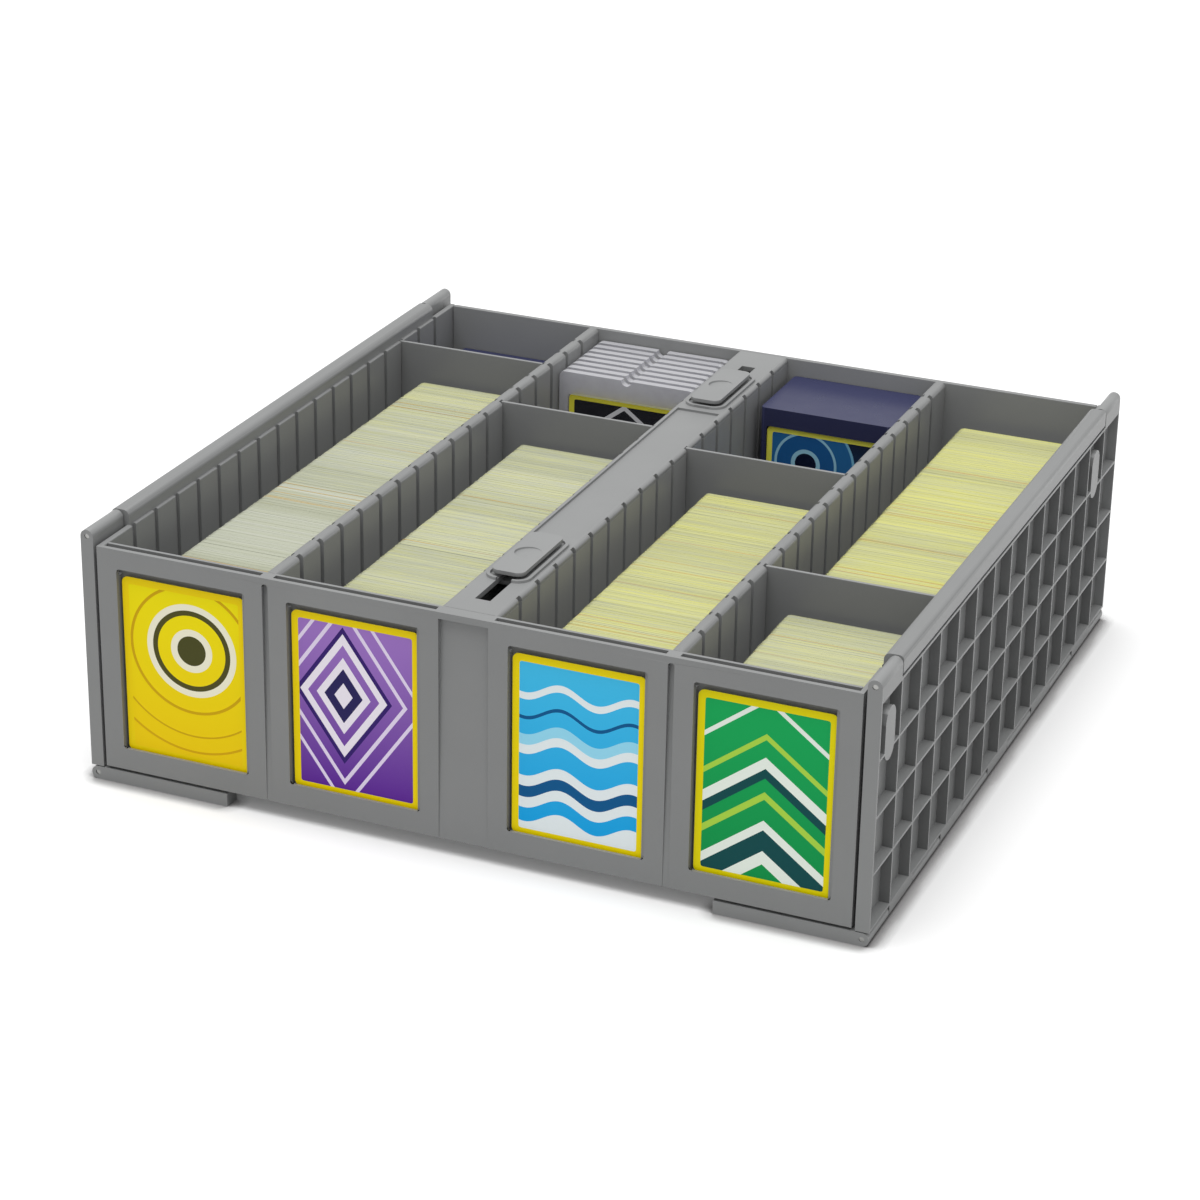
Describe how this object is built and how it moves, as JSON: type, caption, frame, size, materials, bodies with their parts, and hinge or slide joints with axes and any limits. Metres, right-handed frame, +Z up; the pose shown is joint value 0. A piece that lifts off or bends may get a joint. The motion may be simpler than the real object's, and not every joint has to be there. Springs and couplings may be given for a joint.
{
  "type": "card storage bin",
  "caption": "Shallow open card bin with parallel rows, lift-out dividers, label windows along the front, sliding latches on a middle spine and hinged bi-fold lids at both sides.",
  "frame": {"origin": "centre of the footprint on the surface that the bin stands on", "axes": "+X to the right when facing the label windows, +Y from front to back, +Z up"},
  "size_m": [0.3832, 0.378, 0.1261],
  "materials": {
    "tray": "satin moulded polypropylene",
    "lid": "satin moulded polypropylene",
    "latch": "satin moulded polypropylene",
    "divider": "satin moulded polypropylene",
    "foot": "moulded pad",
    "hinge_pin": "drawn steel",
    "label_card": "printed card, satin",
    "card_stock": "cut card edges",
    "card_holder": "clear rigid sheet",
    "deck_box": "tinted polypropylene"
  },
  "bodies": {
    "tray": {"tray_floor": "tray", "front_frame": "tray", "front_wall": "tray", "back_wall": "tray", "left_side_wall": "tray", "right_side_wall": "tray", "left_row_wall": "tray", "right_row_wall": "tray", "left_spine_wall": "tray", "right_spine_wall": "tray", "spine_cover": "tray", "left_upper_hinge_pin": "hinge_pin", "right_upper_hinge_pin": "hinge_pin", "front_left_foot": "foot", "front_right_foot": "foot", "rear_left_foot": "foot", "rear_right_foot": "foot"},
    "left_lid_outer": {"left_lid_outer_panel": "lid", "left_lower_hinge_pin": "hinge_pin"},
    "left_lid_inner": {"left_lid_inner_panel": "lid"},
    "right_lid_outer": {"right_lid_outer_panel": "lid", "right_lower_hinge_pin": "hinge_pin"},
    "right_lid_inner": {"right_lid_inner_panel": "lid"},
    "front_latch": {"front_latch": "latch", "front_latch_clip": "latch"},
    "rear_latch": {"rear_latch": "latch", "rear_latch_clip": "latch"},
    "row_1_divider": {"row_1_divider": "divider"},
    "row_2_divider": {"row_2_divider": "divider"},
    "row_3_divider": {"row_3_divider": "divider"},
    "row_4_divider": {"row_4_divider": "divider"},
    "row_1_label_card": {"row_1_label_card": "label_card"},
    "row_2_label_card": {"row_2_label_card": "label_card"},
    "row_3_label_card": {"row_3_label_card": "label_card"},
    "row_4_label_card": {"row_4_label_card": "label_card"},
    "row_1_cards": {"row_1_cards": "card_stock"},
    "row_2_cards": {"row_2_cards": "card_stock"},
    "row_3_cards": {"row_3_cards": "card_stock"},
    "row_4_cards": {"row_4_cards": "card_stock"},
    "row_4_rear_cards": {"row_4_rear_cards": "card_stock"},
    "row_2_holder_1": {"row_2_holder_1": "card_holder"},
    "row_2_holder_2": {"row_2_holder_2": "card_holder"},
    "row_2_holder_3": {"row_2_holder_3": "card_holder"},
    "row_2_holder_4": {"row_2_holder_4": "card_holder"},
    "row_2_holder_5": {"row_2_holder_5": "card_holder"},
    "row_2_holder_6": {"row_2_holder_6": "card_holder"},
    "row_2_holder_7": {"row_2_holder_7": "card_holder"},
    "row_2_holder_8": {"row_2_holder_8": "card_holder"},
    "row_1_deck_box": {"row_1_deck_box": "deck_box"},
    "row_3_deck_box": {"row_3_deck_box": "deck_box"}
  },
  "joints": [
    {"name": "left_lid_swing", "type": "hinge", "parent": "tray", "child": "left_lid_outer", "pos_m": [-0.18835, 0, 0.12285], "axis": [0, -1, 0], "range_deg": [-270, 0]},
    {"name": "left_lid_fold", "type": "hinge", "parent": "left_lid_outer", "child": "left_lid_inner", "pos_m": [-0.18835, 0, 0.00325], "axis": [0, -1, 0], "range_deg": [-90, 0]},
    {"name": "right_lid_swing", "type": "hinge", "parent": "tray", "child": "right_lid_outer", "pos_m": [0.18835, 0, 0.12285], "axis": [0, 1, 0], "range_deg": [-270, 0]},
    {"name": "right_lid_fold", "type": "hinge", "parent": "right_lid_outer", "child": "right_lid_inner", "pos_m": [0.18835, 0, 0.00325], "axis": [0, 1, 0], "range_deg": [-90, 0]},
    {"name": "front_latch_slide", "type": "slide", "parent": "tray", "child": "front_latch", "axis": [0, 1, 0], "range_m": [-0.0345, 0]},
    {"name": "rear_latch_slide", "type": "slide", "parent": "tray", "child": "rear_latch", "axis": [0, -1, 0], "range_m": [-0.0265, 0]},
    {"name": "row_1_divider_lift", "type": "slide", "parent": "tray", "child": "row_1_divider", "axis": [0, 0, 1], "range_m": [0, 0.115]},
    {"name": "row_2_divider_lift", "type": "slide", "parent": "tray", "child": "row_2_divider", "axis": [0, 0, 1], "range_m": [0, 0.115]},
    {"name": "row_3_divider_lift", "type": "slide", "parent": "tray", "child": "row_3_divider", "axis": [0, 0, 1], "range_m": [0, 0.115]},
    {"name": "row_4_divider_lift", "type": "slide", "parent": "tray", "child": "row_4_divider", "axis": [0, 0, 1], "range_m": [0, 0.115]},
    {"name": "row_1_label_card_lift", "type": "slide", "parent": "tray", "child": "row_1_label_card", "axis": [0, 0, 1], "range_m": [0, 0.105]},
    {"name": "row_2_label_card_lift", "type": "slide", "parent": "tray", "child": "row_2_label_card", "axis": [0, 0, 1], "range_m": [0, 0.105]},
    {"name": "row_3_label_card_lift", "type": "slide", "parent": "tray", "child": "row_3_label_card", "axis": [0, 0, 1], "range_m": [0, 0.105]},
    {"name": "row_4_label_card_lift", "type": "slide", "parent": "tray", "child": "row_4_label_card", "axis": [0, 0, 1], "range_m": [0, 0.105]},
    {"name": "row_1_cards_lift", "type": "slide", "parent": "tray", "child": "row_1_cards", "axis": [0, 0, 1], "range_m": [0, 0.115]},
    {"name": "row_2_cards_lift", "type": "slide", "parent": "tray", "child": "row_2_cards", "axis": [0, 0, 1], "range_m": [0, 0.115]},
    {"name": "row_3_cards_lift", "type": "slide", "parent": "tray", "child": "row_3_cards", "axis": [0, 0, 1], "range_m": [0, 0.115]},
    {"name": "row_4_cards_lift", "type": "slide", "parent": "tray", "child": "row_4_cards", "axis": [0, 0, 1], "range_m": [0, 0.115]},
    {"name": "row_4_rear_cards_lift", "type": "slide", "parent": "tray", "child": "row_4_rear_cards", "axis": [0, 0, 1], "range_m": [0, 0.115]},
    {"name": "row_2_holder_1_lift", "type": "slide", "parent": "tray", "child": "row_2_holder_1", "axis": [0, 0, 1], "range_m": [0, 0.115]},
    {"name": "row_2_holder_2_lift", "type": "slide", "parent": "tray", "child": "row_2_holder_2", "axis": [0, 0, 1], "range_m": [0, 0.115]},
    {"name": "row_2_holder_3_lift", "type": "slide", "parent": "tray", "child": "row_2_holder_3", "axis": [0, 0, 1], "range_m": [0, 0.115]},
    {"name": "row_2_holder_4_lift", "type": "slide", "parent": "tray", "child": "row_2_holder_4", "axis": [0, 0, 1], "range_m": [0, 0.115]},
    {"name": "row_2_holder_5_lift", "type": "slide", "parent": "tray", "child": "row_2_holder_5", "axis": [0, 0, 1], "range_m": [0, 0.115]},
    {"name": "row_2_holder_6_lift", "type": "slide", "parent": "tray", "child": "row_2_holder_6", "axis": [0, 0, 1], "range_m": [0, 0.115]},
    {"name": "row_2_holder_7_lift", "type": "slide", "parent": "tray", "child": "row_2_holder_7", "axis": [0, 0, 1], "range_m": [0, 0.115]},
    {"name": "row_2_holder_8_lift", "type": "slide", "parent": "tray", "child": "row_2_holder_8", "axis": [0, 0, 1], "range_m": [0, 0.115]},
    {"name": "row_1_deck_box_lift", "type": "slide", "parent": "tray", "child": "row_1_deck_box", "axis": [0, 0, 1], "range_m": [0, 0.115]},
    {"name": "row_3_deck_box_lift", "type": "slide", "parent": "tray", "child": "row_3_deck_box", "axis": [0, 0, 1], "range_m": [0, 0.115]}
  ]
}
